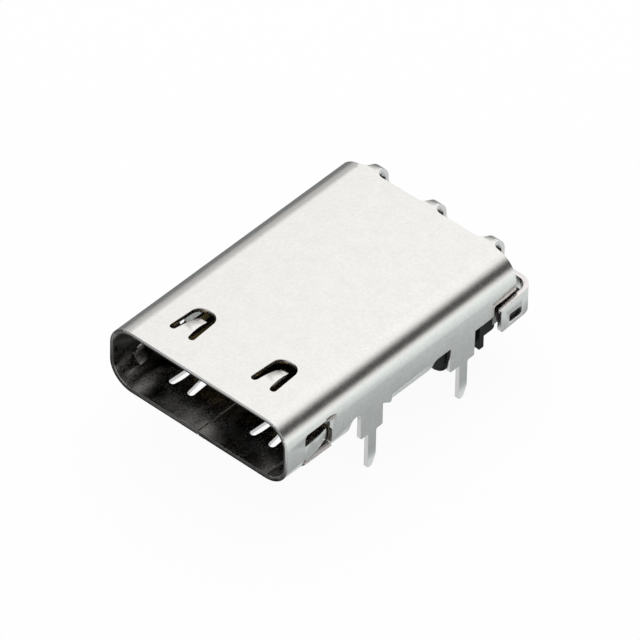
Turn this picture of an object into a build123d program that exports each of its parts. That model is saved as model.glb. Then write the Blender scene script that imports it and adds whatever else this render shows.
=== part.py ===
"""USB-C board socket: a folded sheet shell round a moulded insulator with two rows of contacts."""
import os
from math import cos, pi, radians, sin, sqrt

from build123d import *

os.makedirs("parts", exist_ok=True)

# Driving dimensions, in millimetres. A depth is measured back from the mouth,
# and a height from the mouth's centre line.

# Sheet shell
mouth_width = 8.34
mouth_height = 2.56
sheet = 0.20
corner_radius = 1.08
shell_length = 12.50
floor_length = 7.97
seam_gap = 0.04
wall_drop = 0.50
wall_step_radius = 0.25

# Height of the mouth's centre line over the board
axis_height = 1.68

# Spring fingers in the upper and lower walls
finger_centre = 2.00
finger_slot_front = 1.20
finger_slot_end = 2.83
finger_slot_half_front = 0.60
finger_slot_half_rear = 0.51
finger_slot_width = 0.28
finger_tip_depth = 2.54
finger_tip_half = 0.17
finger_drop = 0.24

# An almost round end takes this share of its half width
round_end = 0.9

# Openings and spring fingers in the side walls
side_slot_front = 0.97
side_slot_end = 2.42
side_slot_upper_end = 2.20
side_slot_top = 0.56
side_slot_step_top = 0.26
side_slot_step_bottom = -0.04
side_slot_bottom = -0.78
side_slot_round = 0.20
side_slot_root_round = 0.06
side_slot_rear_round = 0.12
side_finger_root = 1.10
side_finger_tip = 2.28
side_finger_top = 0.06
side_finger_bottom = -0.68
side_finger_tip_top = 0.10
side_finger_tip_bottom = -0.42
side_finger_bend = 0.13
side_finger_round = 0.15

# Raised rib behind each side opening, and the flared lip under it
rib_lead = 0.06
rib_slope = 0.15
rib_crest = 0.16
rib_height = 0.12
rib_bend = 0.12
rib_top = 0.58
rib_bottom = -0.04
lip_front = 1.05
lip_flare = 0.10
lip_slit = 0.05
lip_root_angle = 55

# Solder legs
front_blade_depth = 4.43
rear_blade_gap = 3.07
leg_setbacks = (0.42, 0.53)
leg_shoulders = (1.20, 1.34)
leg_blade = 0.44
leg_reach = 1.70
leg_taper = 0.48
leg_nose = 0.24
leg_top = -0.30
leg_shoulder_round = 0.07
leg_root_round = 0.07
leg_tip_round = 0.06
leg_nose_round = 0.16
leg_heel_round = 0.40
relief_front = 0.55
relief_top = -0.37
ear_length = 0.46
ear_nose = 0.10
ear_top = -0.64
ear_tip = -0.88
ear_round = 0.06
blade_slot_clearance = 0.05

# Necks, back plate and arms at the rear
neck_pitch = 2.86
neck_width = 0.42
neck_fillet = 0.38
back_gap = 0.80
back_bend = 0.70
back_opening_base = 0.35
arm_gap = 0.05
arm_bend = 0.65
arm_length = 1.88
arm_top_rear = 0.02
arm_top_front = -0.13
arm_bottom_rear = -1.15
arm_bottom_front = -1.24
arm_window_setback = 1.09
arm_window_height = -0.80
arm_window_length = 0.68
arm_window_width = 0.38
arm_corner = 0.10
arm_notch_gap = 0.12
arm_notch_top = 0.00

# Moulded insulator
fit_gap = 0.03
flange_depth = 6.15
block_setback = 0.45
body_end_setback = 0.20
body_side_gap = 0.05
body_front_gap = 0.23
body_bottom = -1.42
body_shelf = -0.90
body_corner = 0.45
body_edge = 0.15
front_foot_setback = 0.95
front_foot_side = 3.86
front_foot_radius = 0.25
rail_gap = 0.32
rail_length = 0.24
rail_end_reach = 0.20
rail_end_top = -0.53
tail_recess_gap = 0.23
tail_recess_half_width = 3.15

# Tongue
tongue_front = 1.70
tongue_half_width = 3.10
tongue_thickness = 0.70
tongue_nose = 0.16
tongue_corner = 0.40
step_length = 0.80
step_half_width = 3.55
step_thickness = 1.20

# Mid plate
plate_thickness = 0.15
plate_setback = 0.20
plate_half_width = 3.345
plate_tail_half_width = 2.90
plate_end_setback = 0.55
plate_ear_setback = 0.04
plate_ear_length = 0.30
plate_ear_bottom = -1.00
plate_ear_bend = 0.20
latch_setback = 1.05
latch_length = 0.80
latch_notch = 0.32
latch_round = 0.08
plate_corner = 0.30

# Ground pads
pad_thickness = 0.10
pad_half_width = 3.30
pad_lip = 0.38
pad_insert_gap = 0.15
pad_bend = 0.12

# Contacts
contact_count = 12
contact_pitch = 0.50
contact_width = 0.25
contact_thickness = 0.12
contact_setback = 0.28
contact_dip = 0.09
contact_ramp = 0.18
contact_bend = 0.18
upper_tail_gap = 0.26
upper_foot_length = 0.64
lower_tail_gap = 0.95
lower_foot_length = 0.72
block_half_width = 3.05
block_height = 0.75
lower_block_gap = 0.22

# Worked out from the sizes above; the datum is the middle of the leg pattern
blade_depths = (front_blade_depth, shell_length - rear_blade_gap)
leg_depths = [depth - setback for depth, setback in zip(blade_depths, leg_setbacks)]
datum_depth = sum(blade_depths) / len(blade_depths) + leg_blade / 2
outer_width = mouth_width + 2 * sheet
outer_height = mouth_height + 2 * sheet
half_width = outer_width / 2
half_height = outer_height / 2
board_level = -axis_height
inner_half_width = mouth_width / 2
through = 2 * half_width
contact_level = tongue_thickness / 2 - contact_thickness / 2
pad_level = step_thickness / 2 + pad_thickness / 2
body_half_width = inner_half_width - body_side_gap
leg_tip = board_level - leg_reach
contact_xs = [contact_pitch * (i - (contact_count - 1) / 2) for i in range(contact_count)]

corner_centre = (half_width - corner_radius, corner_radius - half_height)
wall_middle = half_width - sheet / 2
rib_front = side_slot_upper_end - rib_lead
rib_rear = rib_front + 2 * rib_slope + rib_crest
lip_sine = sin(radians(lip_root_angle))
lip_cosine = cos(radians(lip_root_angle))
lip_drop = corner_centre[1] - side_slot_bottom
lip_edge_reach = sqrt((corner_radius - sheet / 2) ** 2 - lip_drop**2)

back_depth = shell_length + back_gap
arm_front = back_depth - arm_length
arm_window_depth = back_depth - arm_window_setback
arm_notch_front = arm_front - arm_notch_gap
block_depth = flange_depth + block_setback
step_front = flange_depth - step_length
pad_insert = block_depth - pad_insert_gap
body_end = shell_length - body_end_setback
plate_front = tongue_front + plate_setback
plate_end = body_end - plate_end_setback
plate_ear_depth = arm_notch_front + plate_ear_setback
latch_depth = plate_front + latch_setback
contact_front = tongue_front + contact_setback
upper_tail_depth = body_end + upper_tail_gap
upper_foot_end = upper_tail_depth + upper_foot_length
lower_tail_depth = floor_length + lower_tail_gap
lower_foot_end = lower_tail_depth - lower_foot_length
lower_block_end = lower_tail_depth - lower_block_gap
tail_recess_rear = lower_tail_depth + tail_recess_gap
front_foot_depth = floor_length + front_foot_setback
rail_depth = leg_depths[-1] + leg_shoulders[-1] + rail_gap
body_lower_end = plate_ear_depth + plate_ear_length - fit_gap
neck_outer = neck_pitch + neck_width / 2
neck_gaps = [
    (-half_width, -neck_outer, arm_top_rear),
    (-neck_pitch + neck_width / 2, -neck_width / 2, back_opening_base),
    (neck_width / 2, neck_pitch - neck_width / 2, back_opening_base),
    (neck_outer, half_width, arm_top_rear),
]
band_radius = arm_bend - sheet / 2
band_depth = back_depth - sheet / 2
band_straight = half_width + arm_gap + sheet / 2 - band_radius
leg_flat_length = -leg_tip - (half_height - corner_radius)
leg_root_arc = (corner_radius - sheet / 2) * pi / 2
leg_window_side = half_width - corner_radius
blade_slot_end = leg_window_side - (leg_flat_length - leg_root_arc)

# Three views, all with their origin at the centre of the mouth
mouth_centre = (0, -datum_depth, axis_height)
mouth_plane = Plane(mouth_centre, x_dir=(1, 0, 0), z_dir=(0, -1, 0))
side_plane = Plane(mouth_centre, x_dir=(0, 1, 0), z_dir=(1, 0, 0))
top_plane = Plane(mouth_centre, x_dir=(1, 0, 0), z_dir=(0, 0, 1))


# Spring finger of the upper wall: a bent strip cut to a tapering outline
finger_root_half = finger_slot_half_front - finger_slot_width
finger_root = finger_slot_front + finger_slot_width / 2
with BuildPart() as springs:
    with BuildSketch(side_plane.offset(finger_centre)):
        with BuildLine():
            flat = Line(
                (finger_root - sheet / 2, half_height - sheet / 2),
                (finger_root + sheet, half_height - sheet / 2),
            )
            tip = (finger_tip_depth, half_height - sheet / 2 - finger_drop)
            TangentArc(flat @ 1, tip, tangent=flat % 1)
        trace(line_width=sheet)
    extrude(amount=finger_root_half, both=True)
    with BuildSketch(top_plane):
        with BuildLine():
            FilletPolyline(
                (finger_centre - finger_root_half, finger_root - sheet / 2),
                (finger_centre - finger_tip_half, finger_tip_depth),
                (finger_centre + finger_tip_half, finger_tip_depth),
                (finger_centre + finger_root_half, finger_root - sheet / 2),
                radius=(0, round_end * finger_tip_half, round_end * finger_tip_half, 0),
                close=True,
            )
        make_face()
    extrude(amount=half_height, mode=Mode.INTERSECT)
    mirror(about=top_plane)
    mirror(about=side_plane)

# Spring finger of the right side wall, and its twin on the left
with BuildPart() as side_springs:
    with BuildSketch(top_plane):
        with BuildLine():
            flat = Line(
                (half_width - sheet / 2, side_finger_root - sheet / 2),
                (half_width - sheet / 2, side_finger_root + sheet),
            )
            tip = (half_width - sheet / 2 - side_finger_bend, side_finger_tip)
            TangentArc(flat @ 1, tip, tangent=flat % 1)
        trace(line_width=sheet)
    extrude(amount=half_height, both=True)
    with BuildSketch(side_plane):
        with BuildLine():
            FilletPolyline(
                (side_finger_root - sheet / 2, side_finger_top),
                (side_finger_tip, side_finger_tip_top),
                (side_finger_tip, side_finger_tip_bottom),
                (side_finger_root - sheet / 2, side_finger_bottom),
                radius=(0, side_finger_round, side_finger_round, 0),
                close=True,
            )
        make_face()
    extrude(amount=through, mode=Mode.INTERSECT)
    mirror(about=side_plane)

# Raised rib behind the right side opening, and its twin on the left
with BuildPart() as ribs:
    with BuildSketch(top_plane.offset(rib_bottom)):
        with BuildLine():
            FilletPolyline(
                (wall_middle, rib_front - rib_lead),
                (wall_middle, rib_front),
                (wall_middle + rib_height, rib_front + rib_slope),
                (wall_middle + rib_height, rib_front + rib_slope + rib_crest),
                (wall_middle, rib_rear),
                (wall_middle, rib_rear + rib_lead),
                radius=(rib_bend, rib_bend, rib_bend, rib_bend),
            )
        trace(line_width=sheet)
    extrude(amount=rib_top - rib_bottom)
    mirror(about=side_plane)

# Lower lip of the right side opening, which leans out of the corner, and its twin
lip_root_x = corner_centre[0] + (corner_radius - sheet / 2) * lip_cosine
lip_root_z = corner_centre[1] - (corner_radius - sheet / 2) * lip_sine
with BuildPart() as lips:
    with BuildSketch(mouth_plane.offset(-lip_front)):
        with BuildLine():
            TangentArc(
                (lip_root_x, lip_root_z),
                (corner_centre[0] + lip_edge_reach + lip_flare, side_slot_bottom),
                tangent=(lip_sine, lip_cosine),
            )
        trace(line_width=sheet)
    extrude(amount=lip_front - side_slot_end)
    mirror(about=side_plane)

# Solder legs: flat blades that hang from the side walls
with BuildPart() as legs:
    with BuildSketch(side_plane.offset(half_width - sheet)):
        for front, blade, shoulder in zip(leg_depths, blade_depths, leg_shoulders):
            with BuildLine():
                FilletPolyline(
                    (front, leg_top),
                    (front, board_level),
                    (blade, board_level),
                    (blade, leg_tip),
                    (blade + leg_nose, leg_tip),
                    (blade + leg_blade, leg_tip + leg_taper),
                    (blade + leg_blade, board_level),
                    (front + shoulder, board_level),
                    (front + shoulder, leg_top),
                    radius=(
                        0,
                        leg_shoulder_round,
                        leg_root_round,
                        leg_tip_round,
                        leg_nose_round,
                        leg_heel_round,
                        leg_root_round,
                        leg_shoulder_round,
                        0,
                    ),
                    close=True,
                )
            make_face()
        # Short hooked ear behind the front leg
        ear_front = leg_depths[0] + leg_shoulders[0]
        with BuildLine():
            FilletPolyline(
                (ear_front, leg_top),
                (ear_front, ear_top),
                (ear_front + ear_length - ear_nose, ear_tip),
                (ear_front + ear_length, ear_tip),
                (ear_front + ear_length, leg_top),
                radius=(0, 0, ear_round, ear_round, 0),
                close=True,
            )
        make_face()
    extrude(amount=sheet)
    mirror(about=side_plane)

# Opening round each front leg: its relief in the side wall and its blade's outline below
with BuildPart() as leg_windows:
    front = leg_depths[0]
    with BuildSketch(side_plane.offset(leg_window_side)):
        with BuildLine():
            FilletPolyline(
                (front - relief_front, -outer_height),
                (front - relief_front, relief_top),
                (front, relief_top),
                (front, -outer_height),
                radius=(0, round_end * relief_front / 2, round_end * relief_front / 2, 0),
                close=True,
            )
        make_face()
        with Locations((front, relief_top)):
            Rectangle(
                leg_shoulders[0] + ear_length,
                outer_height + relief_top,
                align=(Align.MIN, Align.MAX),
            )
    extrude(amount=half_width)
    with BuildSketch(top_plane.offset(-half_height - sheet)):
        with Locations((leg_window_side + sheet, blade_depths[0] + leg_blade / 2)):
            Rectangle(
                leg_window_side + sheet - blade_slot_end,
                leg_blade + 2 * blade_slot_clearance,
                align=(Align.MAX, Align.CENTER),
            )
    extrude(amount=3 * sheet)
    mirror(about=side_plane)

# One arm of the back plate, with its window
with BuildPart() as right_arm:
    with BuildSketch(side_plane.offset(half_width + arm_gap)):
        with BuildLine():
            FilletPolyline(
                (back_depth - arm_bend, arm_top_rear),
                (arm_front, arm_top_front),
                (arm_front, arm_bottom_front),
                (back_depth - arm_bend, arm_bottom_rear),
                radius=(0, arm_corner, arm_corner, 0),
                close=True,
            )
        make_face()
        with Locations((arm_window_depth, arm_window_height)):
            RectangleRounded(
                arm_window_length, arm_window_width, arm_corner, mode=Mode.SUBTRACT
            )
    extrude(amount=sheet)

# Shell: one stamped and folded sheet
with BuildPart() as shell:
    # Tube round the mouth, with its seam underneath
    with BuildSketch(mouth_plane):
        RectangleRounded(outer_width, outer_height, corner_radius)
        RectangleRounded(mouth_width, mouth_height, corner_radius - sheet, mode=Mode.SUBTRACT)
    extrude(amount=-shell_length)
    with BuildSketch(mouth_plane):
        with Locations((0, -half_height + sheet / 2)):
            Rectangle(seam_gap, 2 * sheet)
    extrude(amount=-floor_length, mode=Mode.SUBTRACT)

    # The lower wall ends early, and the side walls are cut back above it
    with BuildSketch(side_plane):
        with BuildLine():
            FilletPolyline(
                (floor_length, -outer_height),
                (floor_length, -wall_drop),
                (shell_length + sheet, -wall_drop),
                (shell_length + sheet, -outer_height),
                radius=(0, wall_step_radius, 0, 0),
                close=True,
            )
        make_face()
    extrude(amount=through, both=True, mode=Mode.SUBTRACT)

    # Notch in each side wall behind the arm
    with BuildSketch(side_plane):
        with BuildLine():
            FilletPolyline(
                (arm_notch_front, -wall_drop - sheet),
                (arm_notch_front, arm_notch_top),
                (shell_length + sheet, arm_notch_top),
                (shell_length + sheet, -wall_drop - sheet),
                radius=(0, arm_corner, 0, 0),
                close=True,
            )
        make_face()
    extrude(amount=through, both=True, mode=Mode.SUBTRACT)

    # Slots round the upper and lower fingers, with round front ends
    with BuildSketch(top_plane) as finger_slots:
        with BuildLine():
            FilletPolyline(
                (finger_centre - finger_slot_half_front, finger_slot_front),
                (finger_centre - finger_slot_half_rear, finger_slot_end),
                (finger_centre + finger_slot_half_rear, finger_slot_end),
                (finger_centre + finger_slot_half_front, finger_slot_front),
                radius=(0, round_end * finger_slot_half_rear, round_end * finger_slot_half_rear, 0),
                close=True,
            )
        make_face()
        with Locations((finger_centre, finger_root - finger_slot_width)):
            Rectangle(2 * finger_root_half, 2 * finger_slot_width, mode=Mode.SUBTRACT)
        fillet(
            finger_slots.vertices().group_by(Axis.Y)[0],
            radius=round_end * finger_slot_width / 2,
        )
        mirror(about=Plane.YZ)
    extrude(amount=outer_height, both=True, mode=Mode.SUBTRACT)
    add(springs.part)

    # Rib behind each side opening, in place of the flat wall there
    with BuildSketch(side_plane):
        with Locations(((rib_front + rib_rear) / 2, (rib_top + rib_bottom) / 2)):
            Rectangle(rib_rear - rib_front + 2 * rib_lead, rib_top - rib_bottom)
    extrude(amount=through, both=True, mode=Mode.SUBTRACT)
    add(ribs.part)

    # Openings round the side fingers, which cut the ribs short
    with BuildSketch(side_plane):
        with BuildLine():
            FilletPolyline(
                (side_slot_front, side_slot_bottom),
                (side_slot_front, side_slot_top),
                (side_slot_upper_end, side_slot_top),
                (side_slot_upper_end, side_slot_step_top),
                (side_slot_end, side_slot_step_bottom),
                (side_slot_end, side_slot_bottom),
                radius=(
                    side_slot_root_round,
                    side_slot_round,
                    side_slot_root_round,
                    side_slot_root_round,
                    side_slot_rear_round,
                    side_slot_rear_round,
                ),
                close=True,
            )
        make_face()
        with Locations((side_finger_root, (side_finger_top + side_finger_bottom) / 2)):
            Rectangle(
                2 * (side_finger_root - side_slot_front),
                side_finger_top - side_finger_bottom,
                mode=Mode.SUBTRACT,
            )
    extrude(amount=through, both=True, mode=Mode.SUBTRACT)
    add(side_springs.part)

    # Lips under the side openings, in place of the corner there
    with BuildSketch(mouth_plane.offset(lip_slit - lip_front)):
        with BuildLine():
            Polyline(
                (corner_centre[0] + lip_drop * lip_cosine / lip_sine, side_slot_bottom),
                (lip_root_x + sheet * lip_cosine, lip_root_z - sheet * lip_sine),
                (half_width + sheet, lip_root_z - sheet * lip_sine),
                (half_width + sheet, side_slot_bottom),
                close=True,
            )
        make_face()
        mirror(about=Plane.YZ)
    extrude(amount=lip_front - side_slot_end - 2 * lip_slit, mode=Mode.SUBTRACT)
    add(lips.part)

    # Window that each front leg leaves where it was stamped out of the lower wall
    add(leg_windows.part, mode=Mode.SUBTRACT)

    # Solder legs
    add(legs.part)

    # Necks that bend down into the back plate
    with BuildSketch(side_plane):
        with BuildLine():
            FilletPolyline(
                (shell_length - sheet, half_height - sheet / 2),
                (back_depth - sheet / 2, half_height - sheet / 2),
                (back_depth - sheet / 2, arm_top_rear - sheet),
                radius=(back_bend - sheet / 2,),
            )
        trace(line_width=sheet)
    extrude(amount=neck_outer + neck_fillet, both=True)
    with BuildSketch(top_plane.offset(half_height - back_bend)):
        for low, high, _ in neck_gaps:
            with BuildLine():
                FilletPolyline(
                    (low, shell_length),
                    (high, shell_length),
                    (high, back_depth + sheet),
                    (low, back_depth + sheet),
                    radius=(neck_fillet, neck_fillet, 0, 0),
                    close=True,
                )
            make_face()
    extrude(amount=2 * back_bend, mode=Mode.SUBTRACT)
    with BuildSketch(mouth_plane.offset(-back_depth - sheet)):
        for low, high, base in neck_gaps:
            with BuildLine():
                FilletPolyline(
                    (low, base),
                    (high, base),
                    (high, outer_height),
                    (low, outer_height),
                    radius=(neck_fillet, neck_fillet, 0, 0),
                    close=True,
                )
            make_face()
    extrude(amount=back_depth + sheet - shell_length - neck_fillet, mode=Mode.SUBTRACT)

    # Band round the rear corners, with the two arms
    with BuildSketch(top_plane.offset(arm_bottom_rear)):
        with BuildLine():
            Line((-band_straight, band_depth), (band_straight, band_depth))
            CenterArc((band_straight, band_depth - band_radius), band_radius, 0, 90)
            CenterArc((-band_straight, band_depth - band_radius), band_radius, 90, 90)
        trace(line_width=sheet)
    extrude(amount=arm_top_rear - arm_bottom_rear)
    add(right_arm.part)
    mirror(right_arm.part, about=side_plane)
shell.part.label = "shell"
export_step(shell.part, "parts/shell.step")


# Mid plate: steel core of the tongue, with a bent ear on each side at the rear
with BuildPart() as mid_plate:
    with BuildSketch(top_plane.offset(-plate_thickness / 2)):
        with BuildLine():
            FilletPolyline(
                (0, plate_front),
                (plate_half_width, plate_front),
                (plate_half_width, latch_depth),
                (plate_half_width - latch_notch, latch_depth),
                (plate_half_width - latch_notch, latch_depth + latch_length),
                (plate_half_width, latch_depth + latch_length),
                (plate_half_width, flange_depth),
                (plate_tail_half_width, flange_depth),
                (plate_tail_half_width, plate_end),
                (0, plate_end),
                radius=(plate_corner, 0, latch_round, latch_round, 0, 0, 0, 0),
            )
            Line((0, plate_end), (0, plate_front))
        make_face()
        mirror(about=Plane.YZ)
    extrude(amount=plate_thickness)
    with BuildSketch(mouth_plane.offset(-plate_ear_depth)):
        with BuildLine():
            FilletPolyline(
                (plate_tail_half_width - plate_thickness, 0),
                (body_half_width + plate_thickness / 2, 0),
                (body_half_width + plate_thickness / 2, plate_ear_bottom),
                radius=(plate_ear_bend,),
            )
        trace(line_width=plate_thickness)
        mirror(about=Plane.YZ)
    extrude(amount=-plate_ear_length)
mid_plate.part.label = "mid_plate"
export_step(mid_plate.part, "parts/mid_plate.step")

# Upper ground pad on the tongue's step, and the lower one as its mirror image
with BuildPart() as upper_ground_pad:
    with BuildSketch(side_plane):
        with BuildLine():
            FilletPolyline(
                (pad_insert, pad_level),
                (step_front - pad_thickness / 2, pad_level),
                (step_front - pad_thickness / 2, pad_lip),
                radius=(pad_bend,),
            )
        trace(line_width=pad_thickness)
    extrude(amount=pad_half_width, both=True)
with BuildPart() as lower_ground_pad:
    mirror(upper_ground_pad.part, about=top_plane)
upper_ground_pad.part.label = "upper_ground_pad"
lower_ground_pad.part.label = "lower_ground_pad"
export_step(upper_ground_pad.part, "parts/upper_ground_pad.step")
export_step(lower_ground_pad.part, "parts/lower_ground_pad.step")

# One upper and one lower contact, each drawn as its centre line at the middle of the row
with BuildPart() as upper_contact:
    with BuildSketch(side_plane):
        with BuildLine():
            FilletPolyline(
                (contact_front, contact_level - contact_dip),
                (contact_front + contact_ramp, contact_level),
                (upper_tail_depth, contact_level),
                (upper_tail_depth, board_level + contact_thickness / 2),
                (upper_foot_end, board_level + contact_thickness / 2),
                radius=(0, contact_bend, contact_bend),
            )
        trace(line_width=contact_thickness)
    extrude(amount=contact_width / 2, both=True)
with BuildPart() as lower_contact:
    with BuildSketch(side_plane):
        with BuildLine():
            FilletPolyline(
                (contact_front, contact_dip - contact_level),
                (contact_front + contact_ramp, -contact_level),
                (lower_tail_depth, -contact_level),
                (lower_tail_depth, board_level + contact_thickness / 2),
                (lower_foot_end, board_level + contact_thickness / 2),
                radius=(0, contact_bend, contact_bend),
            )
        trace(line_width=contact_thickness)
    extrude(amount=contact_width / 2, both=True)

# Each row, from the left as the mouth is faced
upper_row = [upper_contact.part.moved(Location((x, 0, 0))) for x in contact_xs]
lower_row = [lower_contact.part.moved(Location((x, 0, 0))) for x in reversed(contact_xs)]
for row, contacts in (("a", upper_row), ("b", lower_row)):
    for number, contact in enumerate(contacts, start=1):
        contact.label = f"contact_{row}{number}"
        export_step(contact, f"parts/{contact.label}.step")

# Blocks that the two rows are moulded into
with BuildPart() as upper_contact_block:
    with BuildSketch(side_plane):
        with BuildLine():
            Polyline(
                (block_depth, plate_thickness / 2),
                (body_end, plate_thickness / 2),
                (body_end, block_height),
                (block_depth, block_height),
                close=True,
            )
        make_face()
    extrude(amount=block_half_width, both=True)
    for contact in upper_row:
        add(contact, mode=Mode.SUBTRACT)
with BuildPart() as lower_contact_block:
    with BuildSketch(side_plane):
        with BuildLine():
            Polyline(
                (block_depth, -plate_thickness / 2),
                (lower_block_end, -plate_thickness / 2),
                (lower_block_end, -block_height),
                (block_depth, -block_height),
                close=True,
            )
        make_face()
    extrude(amount=block_half_width, both=True)
    for contact in lower_row:
        add(contact, mode=Mode.SUBTRACT)
upper_contact_block.part.label = "upper_contact_block"
lower_contact_block.part.label = "lower_contact_block"
export_step(upper_contact_block.part, "parts/upper_contact_block.step")
export_step(lower_contact_block.part, "parts/lower_contact_block.step")

# Insulator body: the moulded block behind the mouth, with the tongue and the feet
with BuildPart() as insulator_body:
    # Stop and block, which fill the tube
    with BuildSketch(mouth_plane.offset(-flange_depth)):
        RectangleRounded(
            mouth_width - 2 * fit_gap,
            mouth_height - 2 * fit_gap,
            corner_radius - sheet - fit_gap,
        )
    extrude(amount=flange_depth - body_end)

    # Lower part behind the lower wall, down to just above the board
    with BuildSketch(side_plane):
        with BuildLine():
            FilletPolyline(
                (floor_length + body_front_gap, 0),
                (floor_length + body_front_gap, body_bottom),
                (body_lower_end, body_bottom),
                (body_lower_end, body_shelf),
                (body_end, body_shelf),
                (body_end, 0),
                radius=(0, body_corner, body_edge, 0, body_edge, 0),
                close=True,
            )
        make_face()
    extrude(amount=body_half_width, both=True)

    # Rail that stands on the board, with an end that shows under each side wall
    with BuildSketch(top_plane.offset(board_level)):
        with Locations((0, rail_depth)):
            Rectangle(2 * body_half_width, rail_length, align=(Align.CENTER, Align.MIN))
    extrude(amount=body_bottom + body_edge - board_level)
    with BuildSketch(top_plane.offset(board_level)):
        for side in (-1, 1):
            with Locations((side * (body_half_width + rail_end_reach / 2 - sheet / 2), rail_depth)):
                Rectangle(rail_end_reach + sheet, rail_length, align=(Align.CENTER, Align.MIN))
    extrude(amount=rail_end_top - board_level)
    with BuildSketch(top_plane.offset(board_level)):
        for side in (-1, 1):
            with Locations((side * front_foot_side, front_foot_depth)):
                Circle(front_foot_radius)
    extrude(amount=body_bottom + body_edge - board_level)

    # Tongue and the thicker step at its root
    with BuildSketch(top_plane.offset(-tongue_thickness / 2)) as tongue_outline:
        with Locations((0, tongue_front)):
            Rectangle(
                2 * tongue_half_width,
                flange_depth - tongue_front + sheet,
                align=(Align.CENTER, Align.MIN),
            )
        fillet(tongue_outline.vertices().group_by(Axis.Y)[0], radius=tongue_corner)
    extrude(amount=tongue_thickness)
    with BuildSketch(mouth_plane.offset(-step_front)):
        RectangleRounded(2 * step_half_width, step_thickness, pad_bend)
    extrude(amount=step_front - flange_depth - sheet)
    nose_edges = insulator_body.edges().filter_by(
        lambda edge: abs(edge.center().Y - (tongue_front - datum_depth)) < sheet / 10
        and edge.length > tongue_half_width
    )
    chamfer(nose_edges, length=tongue_nose)

    # Recess that the lower tails come down in
    with BuildSketch(side_plane):
        with BuildLine():
            Polyline(
                (floor_length, board_level),
                (floor_length, -block_height),
                (lower_block_end, -block_height),
                (lower_block_end, -plate_thickness / 2),
                (tail_recess_rear, -plate_thickness / 2),
                (tail_recess_rear, board_level),
                close=True,
            )
        make_face()
    extrude(amount=tail_recess_half_width, both=True, mode=Mode.SUBTRACT)

    # Room for what is moulded in
    with BuildSketch(side_plane):
        with BuildLine():
            Polyline(
                (block_depth, plate_thickness / 2),
                (body_end + sheet, plate_thickness / 2),
                (body_end + sheet, block_height),
                (block_depth, block_height),
                close=True,
            )
        make_face()
        with BuildLine():
            Polyline(
                (block_depth, -plate_thickness / 2),
                (lower_block_end, -plate_thickness / 2),
                (lower_block_end, -block_height),
                (block_depth, -block_height),
                close=True,
            )
        make_face()
    extrude(amount=block_half_width, both=True, mode=Mode.SUBTRACT)
    add(mid_plate.part, mode=Mode.SUBTRACT)
    add(upper_ground_pad.part, mode=Mode.SUBTRACT)
    add(lower_ground_pad.part, mode=Mode.SUBTRACT)
    for contact in upper_row + lower_row:
        add(contact, mode=Mode.SUBTRACT)
insulator_body.part.label = "insulator_body"
export_step(insulator_body.part, "parts/insulator_body.step")
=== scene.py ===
"""Looks of a USB-C board socket: a folded, plated shell, a black moulding and gilt contacts."""

from math import cos, pi, radians, sin

import bmesh
import bpy
from bpy.props import FloatProperty, FloatVectorProperty, PointerProperty
from bpy.types import Operator, Panel, PropertyGroup
from mathutils import Matrix, Vector
from mathutils.bvhtree import BVHTree
from mathutils.kdtree import KDTree


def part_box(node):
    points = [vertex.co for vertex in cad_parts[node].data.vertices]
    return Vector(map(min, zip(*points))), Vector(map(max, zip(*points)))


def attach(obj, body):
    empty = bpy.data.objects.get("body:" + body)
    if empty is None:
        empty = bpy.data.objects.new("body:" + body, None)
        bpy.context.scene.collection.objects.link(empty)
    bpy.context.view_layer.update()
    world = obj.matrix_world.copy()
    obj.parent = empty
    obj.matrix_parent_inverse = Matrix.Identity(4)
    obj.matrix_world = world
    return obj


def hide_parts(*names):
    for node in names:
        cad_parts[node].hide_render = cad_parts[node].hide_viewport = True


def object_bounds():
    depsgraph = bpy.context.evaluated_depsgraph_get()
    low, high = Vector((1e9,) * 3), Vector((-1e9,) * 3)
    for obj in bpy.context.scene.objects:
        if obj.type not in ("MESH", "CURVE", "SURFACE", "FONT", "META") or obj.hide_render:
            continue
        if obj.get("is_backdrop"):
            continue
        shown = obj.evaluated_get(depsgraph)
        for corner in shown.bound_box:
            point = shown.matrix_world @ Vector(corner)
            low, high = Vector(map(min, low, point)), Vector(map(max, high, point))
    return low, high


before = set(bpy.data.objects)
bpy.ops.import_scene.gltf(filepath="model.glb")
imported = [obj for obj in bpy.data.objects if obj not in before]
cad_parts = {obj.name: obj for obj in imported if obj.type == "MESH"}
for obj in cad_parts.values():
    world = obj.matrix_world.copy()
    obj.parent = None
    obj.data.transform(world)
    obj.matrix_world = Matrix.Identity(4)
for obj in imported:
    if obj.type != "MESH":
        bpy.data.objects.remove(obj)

bl_info = {
    "name": "Board Socket Looks",
    "version": (1, 0, 0),
    "blender": (4, 5, 0),
    "location": "3D View > Sidebar > Socket",
    "description": "Finishes, studio and camera for a USB-C board socket",
    "category": "Object",
}

MM = 0.001
BLACK = (0.0, 0.0, 0.0)
WHITE = (1.0, 1.0, 1.0)
SHELL_LOW, SHELL_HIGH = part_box("shell")

# Every length below is in millimetres, unless its comment says otherwise.
# Height of the mouth's centre line over the board, and the camera's slide across its view
MOUTH_HEIGHT = 1.68
CAMERA_SLIDE = (4.42227, 3.09886)
SENSOR_WIDTH = 36.0

# The tube's outer half width and height, and its outer corner round
TUBE_OUTER = (4.37, 1.48)
TUBE_ROUND = 1.08

# How much of the mouth's cut rim takes the torn band, rougher and painted dark as shade, by depth into the
# sheet and by distance behind the rim's front
RIM_BANDS = ((0.0, 0.0), (0.11, 0.0), (0.14, 1.0), (0.2, 1.0))
RIM_REACH = ((0, 1.0), (0.03, 1.0), (0.05, 0.0))

# How matt the lip under a side opening is, by height over the mouth's middle and by distance behind its rim
LIP_HEIGHTS = ((-0.95, 0.0), (-0.9, 1.0), (-0.74, 1.0), (-0.7, 0.0))
LIP_REACH = ((0.85, 0.0), (0.95, 1.0), (2.55, 1.0), (2.65, 0.0))

# A face of the shell or of the mid plate with more metal than this behind it is a cut edge
THROUGH_SHELL = 0.23
THROUGH_PLATE = 0.18

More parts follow.
